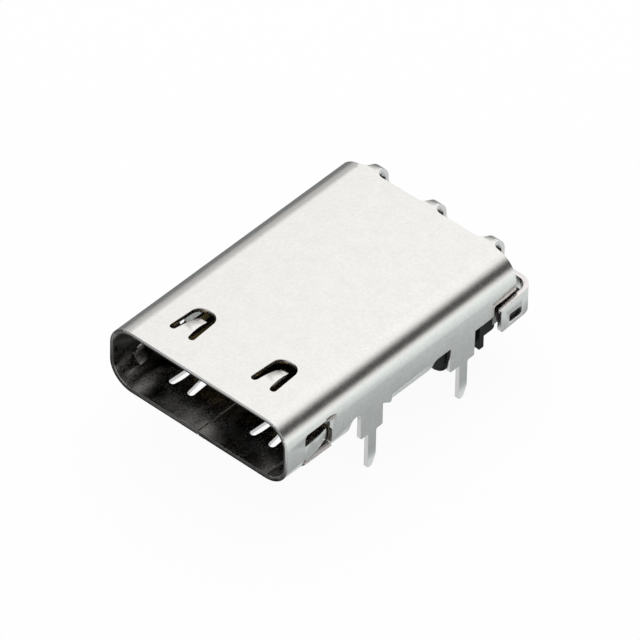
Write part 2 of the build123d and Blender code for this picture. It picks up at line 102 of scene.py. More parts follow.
# The tube's inside: half sizes just over its inner wall's, its depth, and how far in a bent cut edge lies
TUBE_INNER = (4.20, 1.32)
TUBE_DEPTH = 12.4
CUT_SLACK = 0.02

# The seam's cut faces lie this near to the middle, and turn more than this to the side
SEAM_REACH = 0.3
SEAM_TURN = 0.5

# Spans behind the mouth's rim and over its middle: a side opening, and the rib at its rear
SIDE_OPENING = ((0.9, 2.5), (-0.74, 0.6))
RIB = ((2.12, 3.05), (-0.12, 0.66))
RIB_SIDE = 4

# Stamping: corners closer than the weld are one, shorter edges go, and a look inwards starts this deep
WELD = 0.00012
SHORTEST_EDGE = 0.012
LOOK_DEPTH = 0.0012

# Angles in degrees: faces that are still flat, edges that are rounded, and edges that stay sharp to the eye
FLAT_ANGLE = 1.0
ROUNDED_ANGLE = 40
SHARP_ANGLE = 50

# A rounding's point farther than this many rounding widths from every old corner goes back to one
SPIKE = 2.2

# The mid plate's edges are rounded by this share of the shell's rounding
PLATE_ROUND_SHARE = 0.5

# Places of a stamped sheet's cut edge and of its inside, painted darker as shade, among its finishes, after
# its plain face
EDGE_FINISH, INNER_FINISH = 1, 2

# The boss on the body's right side: its inner, front, lower corner and its outer, back, upper one
BOSS = ((4.06, 4.57, 0.50), (4.38, 5.57, 1.63))
BOSS_RAMP = 0.08
BOSS_ROUND = 0.03

# Sizes of the finishes' noises
SMEAR_SIZE, INNER_GRAIN_SIZE = 0.9, 0.07
DRAG_SIZE = 0.06
MOULDING_GRAIN_SIZE, MOULDING_CLOUD_SIZE = 0.06, 0.9
WEAR_SIZE, GILT_GRAIN_SIZE = 0.35, 0.05
ROLLING_SIZE, STRIP_CLOUD_SIZE = 0.05, 0.8

# Heights of the finishes' bumps that no setting holds
DRAG_DEPTH = 0.0015
GILT_GRAIN_DEPTH = 0.0008
ROLLING_DEPTH = 0.0008

# A noise's middle value, the plating's mean tone from shade to colour, and the inside's mean dullness,
# each a share
NOISE_MIDDLE = 0.5
PLATING_TONE = 0.72
# The inside's mean share also sets how far its colour goes from its painted shade towards its paler smears
INNER_DULLNESS = 0.3

# How much less metallic the matt lip is, a share
LIP_MATT = 0.45

# How softly and how raggedly the gilt ends, and how far both ways from the middle the contacts reach
GILT_FADE = 0.1
GILT_RAGGED = 0.2
TAIL_RANGE = 8

# The cards that gloss sees: (degrees from overhead towards the right, darkness)
RIGHT_CARD = (
    (8, 0.0), (18, 0.08), (26, 0.31), (36, 0.68), (45, 0.93),
    (59, 0.94), (67, 0.86), (74, 0.46), (84, 0.10), (88, 0.04),
)
LEFT_CARD = (
    (-90, 0.84), (-84, 0.76), (-75, 0.60), (-65, 0.49),
    (-55, 0.41), (-47, 0.28), (-40, 0.08), (-35, 0.0),
)

# The cards' distance and their two ends along Y, in metres, and how many flats bend each one
CARD_DISTANCE = 0.09
CARD_ENDS = (-0.10, 0.20)
CARD_FLATS = 24

# How light gloss sees the floor, with painted shade and painted light: by distance from the socket, across
# it, along it and ahead of its mouth
FLOOR_AWAY = (
    (0, 0.78), (0.1, 0.41), (1, 0.46), (2.1, 0.455), (2.4, 0.565), (2.8, 0.68),
    (4, 0.71), (6, 0.74), (9, 0.80), (16, 0.88), (50, 0.97),
)
FLOOR_ACROSS = ((-30, 0.21), (-9, 0.27), (-4, 1.0))
FLOOR_ALONG = ((-20, 0.9), (2, 0.9), (6, 1.0), (20, 1.0))
FLOOR_AHEAD = ((-1, 1.0), (0, 0.05), (1.8, 0.06), (2.7, 0.4), (3.3, 0.95), (8, 1.0))

# The overhead lamp's place and width, in metres
LAMP_PLACE = (-0.05, 0.06, 0.14)
LAMP_SIZE = 0.16


def tint(level):
    """The grey of one level, as a colour."""
    return (level, level, level)


def from_mouth(point):
    """A point in millimetres: across the socket, behind the mouth's rim and over its middle."""
    return point.x / MM, (point.y - SHELL_LOW.y) / MM, point.z / MM - MOUTH_HEIGHT


def inside(spans, *values):
    """Whether every value is within its own span."""
    return all(low < value < high for (low, high), value in zip(spans, values))


class Signal:
    """An output socket of a material's sheet, on which sums are written as Python expressions."""

    def __init__(self, sheet, socket):
        self.sheet = sheet
        self.socket = socket

    def sum_of(self, operation, *terms):
        """One Math node on the given terms."""
        values = {index: term for index, term in enumerate(terms)}
        return self.sheet.add("ShaderNodeMath", {"operation": operation}, values)

    def __add__(self, other):
        return self.sum_of("ADD", self, other)

    def __radd__(self, other):
        return self.sum_of("ADD", other, self)

    def __sub__(self, other):
        return self.sum_of("SUBTRACT", self, other)

    def __rsub__(self, other):
        return self.sum_of("SUBTRACT", other, self)

    def __mul__(self, other):
        return self.sum_of("MULTIPLY", self, other)

    def __rmul__(self, other):
        return self.sum_of("MULTIPLY", other, self)

    def __pow__(self, other):
        return self.sum_of("POWER", self, other)

    def __abs__(self):
        return self.sum_of("ABSOLUTE", self)

    def at_least(self, low):
        """The same signal, or low where that is more."""
        return self.sum_of("MAXIMUM", self, low)

    def clipped(self):
        """The same signal, held between 0 and 1."""
        raised = self.at_least(0.0)
        return raised.sum_of("MINIMUM", raised, 1.0)


class NodeSheet:
    """The node tree of one material or of the world, emptied and ready to be drawn."""

    def __init__(self, owner):
        owner.use_nodes = True
        self.tree = owner.node_tree
        self.tree.nodes.clear()

    def add(self, kind, settings=None, inputs=None, out=0):
        """One node: its settings first, then the values or links of its sockets."""
        node = self.tree.nodes.new(kind)
        for name, value in (settings or {}).items():
            if name == "stops":
                self.set_stops(node.color_ramp, value)
            else:
                setattr(node, name, value)
        for name, value in (inputs or {}).items():
            socket = node.inputs[name]
            if isinstance(value, Signal):
                self.tree.links.new(value.socket, socket)
            elif socket.type == "RGBA" and len(value) == 3:
                socket.default_value = (*value, 1.0)
            else:
                socket.default_value = value
        if len(node.outputs) == 0:
            return node
        return Signal(self, node.outputs[out])

    def set_stops(self, ramp, stops):
        """Put the given (place, colour) stops on a ramp in place of its own two."""
        while len(ramp.elements) < len(stops):
            ramp.elements.new(0.5)
        for element, (place, colour) in zip(ramp.elements, stops):
            element.position = place
            element.color = (*colour, 1.0)

    def position(self):
        """The point of the object, in metres: the Object output of Texture Coordinate."""
        return self.add("ShaderNodeTexCoord", out=3)

    def axis(self, place, index):
        """One part of a vector: 0, 1 or 2 for X, Y or Z."""
        return self.add("ShaderNodeSeparateXYZ", {}, {"Vector": place}, out=index)

    def in_millimetres(self):
        """The point's three parts, in millimetres."""
        place = self.position()
        return [self.axis(place, index) * (1 / MM) for index in range(3)]

    def from_mouth(self):
        """The point in millimetres: across the socket, behind the mouth's rim and over its middle."""
        across, along, height = self.in_millimetres()
        return across, along - SHELL_LOW.y / MM, height - MOUTH_HEIGHT

    def ramp(self, value, stops):
        """A level that follows the given (value, level) stops, in the value's own unit."""
        low, high = stops[0][0], stops[-1][0]
        span = high - low
        share = (value - low) * (1 / span)
        colours = [((at - low) / span, tint(level)) for at, level in stops]
        return self.add("ShaderNodeValToRGB", {"stops": colours}, {"Fac": share.clipped()})

    def noise(self, size, detail=2.0, roughness=0.5, stretch=(1, 1, 1)):
        """Soft noise from 0 to 1 whose features are about size millimetres across."""
        place = self.add(
            "ShaderNodeMapping",
            {},
            {"Vector": self.position(), "Scale": [share / (size * MM) for share in stretch]},
        )
        return self.add(
            "ShaderNodeTexNoise",
            {},
            {"Vector": place, "Scale": 1.0, "Detail": detail, "Roughness": roughness},
        )

    def mix(self, share, first, second):
        """A colour between two, by a share or a mask. Mix takes colours at 6 and 7 and gives one at 2."""
        inputs = {"Factor": share, 6: first, 7: second}
        return self.add("ShaderNodeMix", {"data_type": "RGBA"}, inputs, out=2)

    def bump(self, height, depth):
        """A normal from a height signal, with its depth in millimetres."""
        return self.add("ShaderNodeBump", {}, {"Height": height, "Distance": depth * MM, "Strength": 1.0})

    def surface(self, inputs):
        """The principled shader, linked to the output."""
        shader = self.add("ShaderNodeBsdfPrincipled", {}, inputs)
        self.add("ShaderNodeOutputMaterial", {}, {"Surface": shader})


def material(name):
    """A new material with an empty sheet, and that sheet."""
    made = bpy.data.materials.new(name)
    return made, NodeSheet(made)


def swing(noise, share):
    """How far a noise is from its middle, times a share."""
    return (noise - NOISE_MIDDLE) * share


def finish_plated_sheet(look):
    """Nickel-plated sheet: satin, with a fine mottled grain."""
    made, sheet = material("plated_sheet")
    fine = sheet.noise(look.grain_size / MM, detail=3.0, roughness=0.7)
    broad = sheet.noise(look.grain_size / MM * 5, detail=2.0)
    mottle = swing(fine, 1.0) + swing(broad, 0.4)
    sheet.surface(
        {
            "Base Color": sheet.mix((mottle + PLATING_TONE).clipped(), look.shade, look.colour),
            "Metallic": 1.0,
            "Roughness": (mottle * 0.12 + look.roughness).clipped(),
            "Normal": sheet.bump(fine, look.grain_depth / MM),
        }
    )
    return made


def finish_shaded_tube_inside(look):
    """The inside of the tube: painted darker as shade, with dull smears from the forming tool."""
    made, sheet = material("tube_inside")
    smear = sheet.noise(SMEAR_SIZE, detail=5.0, roughness=0.65, stretch=(1, 0.6, 1))
    fine = sheet.noise(INNER_GRAIN_SIZE, detail=3.0, roughness=0.6)
    dull = (swing(smear, 1.8) + swing(fine, 0.8) + INNER_DULLNESS).clipped()
    sheet.surface(
        {
            "Base Color": sheet.mix(dull, look.inside_painted_shade, look.inner_smear),
            "Metallic": 1.0,
            "Roughness": (dull * 0.3 + look.inner_roughness).clipped(),
            "Normal": sheet.bump(fine, look.grain_depth / MM / 3),
        }
    )
    return made


def torn_and_shaded_band(sheet):
    """The torn inner band of the mouth's cut rim, rougher and painted dark as shade, from 0 on its burnished
    outer band to 1.
    """
    across, behind, over = sheet.from_mouth()
    out_x, out_z = (
        (abs(part) - (half - TUBE_ROUND)).at_least(0.0) for part, half in zip((across, over), TUBE_OUTER)
    )
    depth = TUBE_ROUND - (out_x * out_x + out_z * out_z) ** 0.5
    return sheet.ramp(depth, RIM_BANDS) * sheet.ramp(behind, RIM_REACH)


def lip_band(sheet):
    """The flared lip under each side opening, which is torn matt: 1 there and 0 elsewhere."""
    _, behind, over = sheet.from_mouth()
    return sheet.ramp(over, LIP_HEIGHTS) * sheet.ramp(behind, LIP_REACH)


def finish_sheared_edge(look):
    """The cut edge of the sheet: burnished and warm, with a rough torn band inside the mouth's rim that is
    painted near black as shade.
    """
    made, sheet = material("sheared_edge")
    drag = sheet.noise(DRAG_SIZE, detail=3.0, roughness=0.65)
    # torn also carries painted shade: it darkens the rim's inner band towards the near-black torn colour
    torn = torn_and_shaded_band(sheet)
    matt = lip_band(sheet)
    burnished = sheet.mix(drag, look.edge_shade, look.edge_colour)
    sheet.surface(
        {
            "Base Color": sheet.mix(torn, burnished, look.torn_and_shade_colour),
            "Metallic": 1.0 - matt * LIP_MATT,
            "Roughness": (drag * 0.16 + torn * 0.3 + matt * 0.3 + look.edge_roughness).clipped(),
            "Normal": sheet.bump(drag, DRAG_DEPTH),
        }
    )
    return made


def finish_moulding(name, look):
    """Black glass-filled moulding, with a fine matt grain and pale specks."""
    made, sheet = material(name)
    grain = sheet.noise(MOULDING_GRAIN_SIZE, detail=4.0, roughness=0.7)
    cloud = sheet.noise(MOULDING_CLOUD_SIZE, detail=2.0)
    sheet.surface(
        {
            "Base Color": sheet.mix(grain * 0.5 + cloud * 0.5, look.colour, look.bloom),
            "Roughness": (cloud * 0.15 + look.roughness).clipped(),
            "Specular IOR Level": 0.25,
            "Normal": sheet.bump(grain, look.grain_depth / MM),
        }
    )
    return made


def finish_gilt(look):
    """Gold flash over nickel on the contacts, and on their tails nickel painted dark as shade."""
    made, sheet = material("gilt_contact")
    wear = sheet.noise(WEAR_SIZE, detail=3.0)
    fine = sheet.noise(GILT_GRAIN_SIZE, detail=2.0)
    along = sheet.in_millimetres()[1]
    end = look.gilt_end / MM
    stops = ((-TAIL_RANGE, 0.0), (end, 0.0), (end + GILT_FADE, 1.0), (TAIL_RANGE, 1.0))
    tail = sheet.ramp(along + wear * GILT_RAGGED, stops)
    gilt = sheet.mix(wear, look.colour, look.wear_colour)
    sheet.surface(
        {
            # The tails' colour is nickel darkened with painted shade
            "Base Color": sheet.mix(tail, gilt, look.tail_nickel_and_shade),
            "Metallic": 1.0,
            "Roughness": (wear * 0.12 + tail * 0.15 + look.roughness).clipped(),
            "Normal": sheet.bump(fine, GILT_GRAIN_DEPTH),
        }
    )
    return made


def finish_plain_steel(name, look):
    """Bright stainless strip, with its rolling marks along the part."""
    made, sheet = material(name)
    marks = sheet.noise(ROLLING_SIZE, detail=3.0, stretch=(1, 0.08, 1))
    cloud = sheet.noise(STRIP_CLOUD_SIZE)
    sheet.surface(
        {
            "Base Color": sheet.mix(cloud, look.plate_shade, look.plate_colour),
            "Metallic": 1.0,
            "Roughness": (marks * 0.15 + look.plate_roughness).clipped(),
            "Normal": sheet.bump(marks, ROLLING_DEPTH),
        }
    )
    return made


def clad(node, finish):
    """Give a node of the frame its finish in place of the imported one."""
    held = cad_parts[node]
    held.data.materials.clear()
    held.data.materials.append(finish)


def looks_into_tube(place, normal, is_cut):
    """Whether a face takes the painted shade of the tube's inside: its wall, its seam, or a cut edge bent
    inwards.
    """
    across, behind, over = from_mouth(place)
    reach = max(abs(across) - TUBE_INNER[0], abs(over) - TUBE_INNER[1])
    if behind > TUBE_DEPTH:
        return False
    if not is_cut:
        return reach < 0 and normal.x * across + normal.z * over < 0
    at_seam = abs(across) < SEAM_REACH and over < 0 and abs(normal.x) > SEAM_TURN
    return reach < -CUT_SLACK or at_seam or inside(SIDE_OPENING, behind, over)


def mark_faces(shape, through, has_tube):
    """Tell a sheet's cut edges from its faces by the depth of metal behind, and a tube's inside."""
    tree = BVHTree.FromBMesh(shape)
    for face in shape.faces:
        middle = face.calc_center_median()
        depth = tree.ray_cast(middle - face.normal * LOOK_DEPTH * MM, -face.normal)[3]
        is_cut = depth is None or depth > through * MM
        if has_tube and looks_into_tube(middle, face.normal, is_cut):
            face.material_index = INNER_FINISH
        elif is_cut:
            face.material_index = EDGE_FINISH


def is_sharp(edge, degrees):
    """Whether two faces meet at an edge, and at more than this angle."""
    return edge.is_manifold and edge.calc_face_angle() > radians(degrees)


def on_rib(edge):
    """Whether an edge belongs to a side rib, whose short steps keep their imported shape."""
    across, behind, over = from_mouth((edge.verts[0].co + edge.verts[1].co) / 2)
    return abs(across) > RIB_SIDE and inside(RIB, behind, over)


def join_flats(shape):
    """Make one face of neighbours that are flat to each other and have one finish."""
    bmesh.ops.dissolve_limit(
        shape, angle_limit=radians(FLAT_ANGLE), verts=shape.verts, edges=shape.edges, delimit={"MATERIAL"},
    )


def burnish(shape, round_width):
    """Join the flat faces again, take out the shortest edges and round every sharp one."""
    join_flats(shape)
    short = [edge for edge in shape.edges if edge.calc_length() < SHORTEST_EDGE * MM]
    ends = list(dict.fromkeys(vertex for edge in short for vertex in edge.verts))
    bmesh.ops.remove_doubles(shape, verts=ends, dist=SHORTEST_EDGE * MM)
    bmesh.ops.triangulate(shape, faces=[face for face in shape.faces if len(face.verts) > 4])
    join_flats(shape)
    corners = KDTree(len(shape.verts))
    for index, vertex in enumerate(shape.verts):
        corners.insert(vertex.co, index)
    corners.balance()
    sharp = [edge for edge in shape.edges if is_sharp(edge, ROUNDED_ANGLE) and not on_rib(edge)]
    bmesh.ops.bevel(
        shape, geom=sharp, offset=round_width, offset_type="OFFSET", segments=2, profile=0.5,
        affect="EDGES", clamp_overlap=False, loop_slide=True, material=-1, face_strength_mode="ALL",
    )
    for vertex in shape.verts:
        corner, _, away = corners.find(vertex.co)
        if away > SPIKE * round_width:
            vertex.co = corner
    for edge in shape.edges:
        edge.smooth = not is_sharp(edge, SHARP_ANGLE)


def stand_in(name, shape, finishes):
    """A new piece on the socket from a finished shape, with normals that keep its flats flat."""
    for face in shape.faces:
        face.smooth = True
    mesh = bpy.data.meshes.new(name)
    shape.to_mesh(mesh)
    shape.free()
    for finish in finishes:
        mesh.materials.append(finish)
    made = bpy.data.objects.new(name, mesh)
    bpy.context.scene.collection.objects.link(made)
    even = made.modifiers.new("even_faces", "WEIGHTED_NORMAL")
    even.keep_sharp = True
    even.use_face_influence = True
    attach(made, "root")
    return made


def stamp(node, name, through, round_width, finishes):
    """A sheet part with its edges burnished and its cut edges finished apart from its faces."""
    low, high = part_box(node)
    shape = bmesh.new()
    shape.from_mesh(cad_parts[node].data)
    bmesh.ops.remove_doubles(shape, verts=shape.verts, dist=WELD * MM)
    shape.normal_update()
    mark_faces(shape, through, len(finishes) > INNER_FINISH)
    burnish(shape, round_width)
    for vertex in shape.verts:
        vertex.co = [min(max(part, least), most) for part, least, most in zip(vertex.co, low, high)]
    made = stand_in(name, shape, finishes)
    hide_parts(node)


def latch_boss(name, side, finish):
    """The moulded boss on one side of the body, right 1 or left -1, that the arm's window snaps over."""
    (inner, front, bottom), (outer, back, top) = BOSS
    outline = (
        (inner, bottom),
        (outer - BOSS_RAMP, bottom),
        (outer, bottom + BOSS_RAMP * 2),
        (outer, top),
        (inner, top),
    )
    shape = bmesh.new()
    rings = [[shape.verts.new((side * x * MM, y * MM, z * MM)) for x, z in outline] for y in (front, back)]
    shape.faces.new(rings[0])
    shape.faces.new(list(reversed(rings[1])))
    for index in range(len(outline)):
        following = (index + 1) % len(outline)
        shape.faces.new((rings[0][following], rings[0][index], rings[1][index], rings[1][following]))
    bmesh.ops.recalc_face_normals(shape, faces=shape.faces)
    bmesh.ops.bevel(
        shape, geom=list(shape.edges), offset=BOSS_ROUND * MM, offset_type="OFFSET", segments=3,
        profile=0.5, affect="EDGES", face_strength_mode="ALL",
    )
    stand_in(name, shape, (finish,))


class SOCKET_PG_sheet(PropertyGroup):
    """Sizes and colours of the metal sheet parts."""

    colour: FloatVectorProperty(
        name="Plating", description="Colour of the plated faces", subtype="COLOR",
        default=(0.985, 0.967, 0.928), min=0, max=1,
    )
    shade: FloatVectorProperty(
        name="Plating Shade", description="Darker tone in the grain of the plating",
        subtype="COLOR", default=(0.74, 0.732, 0.716), min=0, max=1,
    )
    edge_colour: FloatVectorProperty(
        name="Cut Edge", description="Colour of the sheared edges", subtype="COLOR",
        default=(0.99, 0.945, 0.93), min=0, max=1,
    )
    edge_shade: FloatVectorProperty(
        name="Cut Edge Shade", description="Darker tone of the sheared edges", subtype="COLOR",
        default=(0.74, 0.70, 0.685), min=0, max=1,
    )
    # The torn band's colour is painted shade, near black like the shaded inside, on a band that is also
    # rougher
    torn_and_shade_colour: FloatVectorProperty(
        name="Torn Band", description="Dark torn band of the mouth's rim", subtype="COLOR",
        default=(0.10, 0.098, 0.095), min=0, max=1,
    )
    edge_roughness: FloatProperty(
        name="Cut Edge Roughness", description="Least roughness of the sheared edges", default=0.16,
        min=0.02, max=1,
    )
    roughness: FloatProperty(
        name="Roughness", description="Mean roughness of the plating", default=0.22,
        min=0.02, max=1,
    )
    grain_size: FloatProperty(
        name="Grain Size", description="Size of the finest mottles", default=0.13 * MM,
        unit="LENGTH",
    )
    grain_depth: FloatProperty(
        name="Grain Depth", description="Height of the grain", default=0.0019 * MM,
        unit="LENGTH",
    )
    # The inside's colour is painted shade: the tube's inside is drawn far darker than its plating
    inside_painted_shade: FloatVectorProperty(
        name="Inside", description="Colour of the tube's unpolished inside", subtype="COLOR",
        default=(0.30, 0.295, 0.28), min=0, max=1,
    )
    inner_smear: FloatVectorProperty(
        name="Inside Smears", description="Paler smears on the tube's inside", subtype="COLOR",
        default=(0.62, 0.60, 0.57), min=0, max=1,
    )
    inner_roughness: FloatProperty(
        name="Inside Roughness", description="Least roughness of the tube's inside",
        default=0.16, min=0.02, max=1,
    )
    edge_round: FloatProperty(
        name="Edge Round", description="Width of the rounding on the sheet's edges",
        default=0.013 * MM, unit="LENGTH",
    )
    plate_colour: FloatVectorProperty(
        name="Strip", description="Colour of the bare stainless strip", subtype="COLOR",
        default=(0.34, 0.335, 0.325), min=0, max=1,
    )
    plate_shade: FloatVectorProperty(
        name="Strip Shade", description="Darker tone of the stainless strip", subtype="COLOR",
        default=(0.26, 0.256, 0.25), min=0, max=1,
    )
    plate_roughness: FloatProperty(
        name="Strip Roughness", description="Mean roughness of the strip", default=0.22,
        min=0.02, max=1,
    )


class SOCKET_PG_moulding(PropertyGroup):
    """Colours of the moulded parts."""

    colour: FloatVectorProperty(
        name="Moulding", description="Base colour of the black moulding", subtype="COLOR",
        default=(0.006, 0.006, 0.0065), min=0, max=1,
    )
    bloom: FloatVectorProperty(
        name="Bloom", description="Paler tone in the moulding's grain", subtype="COLOR",
        default=(0.014, 0.014, 0.015), min=0, max=1,
    )
    roughness: FloatProperty(
        name="Roughness", description="Mean roughness of the moulding", default=0.48,
        min=0.02, max=1,
    )
    grain_depth: FloatProperty(
        name="Grain Depth", description="Height of the moulding's grain",
        default=0.003 * MM, unit="LENGTH",
    )


class SOCKET_PG_contacts(PropertyGroup):
    """Colours of the contacts."""

    colour: FloatVectorProperty(
        name="Gilt", description="Colour of the gold flash", subtype="COLOR",
        default=(0.64, 0.44, 0.18), min=0, max=1,
    )
    wear_colour: FloatVectorProperty(
        name="Thin Gilt", description="Paler gold where the flash is thin", subtype="COLOR",
        default=(0.62, 0.48, 0.27), min=0, max=1,
    )
    # The tails' colour is nickel darkened with painted shade
    tail_nickel_and_shade: FloatVectorProperty(
        name="Tails", description="Dull nickel of the tails", subtype="COLOR",
        default=(0.24, 0.235, 0.225), min=0, max=1,
    )
    gilt_end: FloatProperty(
        name="Gilt End", description="Where along the socket the gold flash ends",
        default=0.0, unit="LENGTH",
    )
    roughness: FloatProperty(
        name="Roughness", description="Mean roughness of the gilt", default=0.2,
        min=0.02, max=1,
    )


class SOCKET_PG_studio(PropertyGroup):
    """Floor, light and camera."""

    floor_colour: FloatVectorProperty(
        name="Floor", description="Colour of the floor", subtype="COLOR",
        default=(0.97, 0.97, 0.97), min=0, max=1,
    )
    floor_size: FloatProperty(
        name="Floor Size", description="Width of the floor", default=0.6, unit="LENGTH",
    )
    floor_shadow: FloatProperty(
        name="Floor Shadow", description="Share of the floor that the lamps shade, as the camera sees it",
        default=0.06, min=0, max=1,
    )
    floor_mirror_colour: FloatVectorProperty(
        name="Reflected Floor", description="Tint of the floor as gloss reflects it",
        subtype="COLOR", default=(0.93, 0.99, 1.0), min=0, max=1,
    )
    sky_level: FloatProperty(
        name="Sky Level", description="Level of the even light from all round", default=0.62,
        min=0, max=4,
    )
    lamp_level: FloatProperty(
        name="Lamp Level", description="Radiance of the overhead lamp", default=1.4,
        min=0, max=20,
    )
    camera_lens: FloatProperty(
        name="Lens", description="Focal length, in millimetres", default=713.525,
        min=1,
    )
    camera_distance: FloatProperty(
        name="Camera Distance", description="From the mouth's centre to the camera",
        default=460.3855 * MM, unit="LENGTH",
    )
    camera_azimuth: FloatProperty(
        name="Camera Azimuth", description="Round from straight ahead of the mouth",
        default=radians(41.27686), unit="ROTATION",
    )
    camera_elevation: FloatProperty(
        name="Camera Elevation", description="Above the board", default=radians(42.80908),
        unit="ROTATION",
    )
    camera_roll: FloatProperty(
        name="Camera Roll", description="Turn about the view's own axis",
        default=radians(1.2541), unit="ROTATION",
    )


class SOCKET_OT_shell(Operator):
    """Finish the folded shell"""

    bl_idname = "socket.shell"
    bl_label = "Plated Shell"

    def execute(self, context):
        look = context.scene.socket_sheet
        finishes = (finish_plated_sheet(look), finish_sheared_edge(look), finish_shaded_tube_inside(look))
        stamp("shell", "stamped_shell", THROUGH_SHELL, look.edge_round, finishes)
        return {"FINISHED"}


class SOCKET_OT_plates(Operator):
    """Finish the mid plate and the two ground pads"""

    bl_idname = "socket.plates"
    bl_label = "Mid Plate and Ground Pads"

    def execute(self, context):
        look = context.scene.socket_sheet
        finishes = (finish_plain_steel("mid_plate_steel", look), finish_sheared_edge(look))
        round_width = look.edge_round * PLATE_ROUND_SHARE
        stamp("mid_plate", "stamped_mid_plate", THROUGH_PLATE, round_width, finishes)
        pad_finish = finish_plain_steel("ground_pad_steel", look)
        for node in ("upper_ground_pad", "lower_ground_pad"):
            clad(node, pad_finish)
        return {"FINISHED"}


class SOCKET_OT_moulding(Operator):
    """Finish the insulator body with its two bosses, and the two contact blocks"""

    bl_idname = "socket.moulding"
    bl_label = "Mouldings"

    def execute(self, context):
        look = context.scene.socket_moulding
        body_finish = finish_moulding("insulator_moulding", look)
        clad("insulator_body", body_finish)
        latch_boss("latch_boss_right", 1, body_finish)
        latch_boss("latch_boss_left", -1, body_finish)
        block_finish = finish_moulding("contact_block_moulding", look)
        for node in ("upper_contact_block", "lower_contact_block"):
            clad(node, block_finish)
        return {"FINISHED"}


class SOCKET_OT_contacts(Operator):
    """Finish both rows of contacts"""

    bl_idname = "socket.contacts"
    bl_label = "Contacts"

    def execute(self, context):
        gilt = finish_gilt(context.scene.socket_contacts)
        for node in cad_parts:
            if node.startswith("contact_"):
                clad(node, gilt)
        return {"FINISHED"}


def stage_panel(name, mesh, finish):
    """A stage object from a mesh and its one finish."""
    mesh.materials.append(finish)
    made = bpy.data.objects.new(name, mesh)
    bpy.context.scene.collection.objects.link(made)
    made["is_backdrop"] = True
    return made


def dark_card(name, stops):
    """A curved card round the socket's length that only gloss sees, as dark as its stops say.

    Each stop is an angle in degrees, from overhead towards the right, and the darkness there."""
    made, sheet = material(name)
    place = sheet.add("ShaderNodeUVMap", {"uv_map": "card"})
    first, last = stops[0][0], stops[-1][0]
    angle = sheet.axis(place, 0) * (last - first) + first
    clear = sheet.add("ShaderNodeBsdfTransparent", {}, {"Color": WHITE})
    dark = sheet.add("ShaderNodeEmission", {}, {"Color": BLACK, "Strength": 0.0})
    blend = sheet.add("ShaderNodeMixShader", {}, {0: sheet.ramp(angle, stops), 1: clear, 2: dark})
    sheet.add("ShaderNodeOutputMaterial", {}, {"Surface": blend})
    shape = bmesh.new()
    layer = shape.loops.layers.uv.new("card")
    columns = []
    for step in range(CARD_FLATS + 1):
        share = step / CARD_FLATS
        turn = radians(first + (last - first) * share)
        x, z = CARD_DISTANCE * sin(turn), CARD_DISTANCE * cos(turn)
        columns.append([(share, shape.verts.new((x, y, z))) for y in CARD_ENDS])
    for (left_near, left_far), (right_near, right_far) in zip(columns, columns[1:]):
        corners = (left_near, right_near, right_far, left_far)
        face = shape.faces.new([vertex for _, vertex in corners])
        for loop, (share, _) in zip(face.loops, corners):
            loop[layer].uv = (share, 0)
    mesh = bpy.data.meshes.new(name)
    shape.to_mesh(mesh)
    shape.free()
    card = stage_panel(name, mesh, made)
    card.visible_camera = False
    card.visible_diffuse = False
    card.visible_shadow = False
    card.visible_transmission = False


def seen_by(sheet):
    """Two masks: rays that come from the camera, and rays that gloss or glass sends on."""
    rays = sheet.add("ShaderNodeLightPath").socket.node.outputs
    kinds = ("Camera", "Glossy", "Transmission")
    camera, gloss, glass = (Signal(sheet, rays[f"Is {kind} Ray"]) for kind in kinds)
    return camera, (gloss + glass).clipped()


def painted_floor_shade(sheet):
    """How light gloss sees the floor: painted shade close to the socket, painted light right under it, and
    darkest before its mouth.
    """
    across, along, _ = sheet.in_millimetres()
    beside = (abs(across) - SHELL_HIGH.x / MM).at_least(0.0)
    ahead = SHELL_LOW.y / MM - along
    beyond = ahead.at_least(along - SHELL_HIGH.y / MM).at_least(0.0)
    away = (beside * beside + beyond * beyond) ** 0.5
    near = sheet.ramp(away, FLOOR_AWAY) * sheet.ramp(across, FLOOR_ACROSS)
    return near * sheet.ramp(along, FLOOR_ALONG) * sheet.ramp(ahead, FLOOR_AHEAD)


def finish_floor(look):
    """Pale floor: white to the camera, and to gloss an emission with painted shade and light round the
    socket; it keeps the socket's shadow.
    """
    made, sheet = material("studio_floor")
    camera, mirror = seen_by(sheet)
    lit = sheet.add("ShaderNodeBsdfDiffuse", {}, {"Color": look.floor_colour})
    bright = sheet.add("ShaderNodeEmission", {}, {"Color": WHITE, "Strength": 1.0})
    seen = sheet.add("ShaderNodeMixShader", {}, {0: camera * (1 - look.floor_shadow), 1: lit, 2: bright})
    # Gloss sees the floor as an emission with painted shade and painted light near the socket
    shown = sheet.mix(painted_floor_shade(sheet), BLACK, look.floor_mirror_colour)
    mirrored = sheet.add("ShaderNodeEmission", {}, {"Color": shown, "Strength": 1.0})
    blend = sheet.add("ShaderNodeMixShader", {}, {0: mirror, 1: seen, 2: mirrored})
    sheet.add("ShaderNodeOutputMaterial", {}, {"Surface": blend})
    return made


def light_world(look):
    """White behind everything, and an even light of the sky level on matt surfaces."""
    world = bpy.data.worlds.new("studio_world")
    bpy.context.scene.world = world
    sheet = NodeSheet(world)
    camera, mirror = seen_by(sheet)
    even = sheet.add("ShaderNodeBackground", {}, {"Color": WHITE, "Strength": look.sky_level})
    bright = sheet.add("ShaderNodeBackground", {}, {"Color": WHITE, "Strength": 1.0})
    blend = sheet.add("ShaderNodeMixShader", {}, {0: (camera + mirror).clipped(), 1: even, 2: bright})
    sheet.add("ShaderNodeOutputWorld", {}, {"Surface": blend})


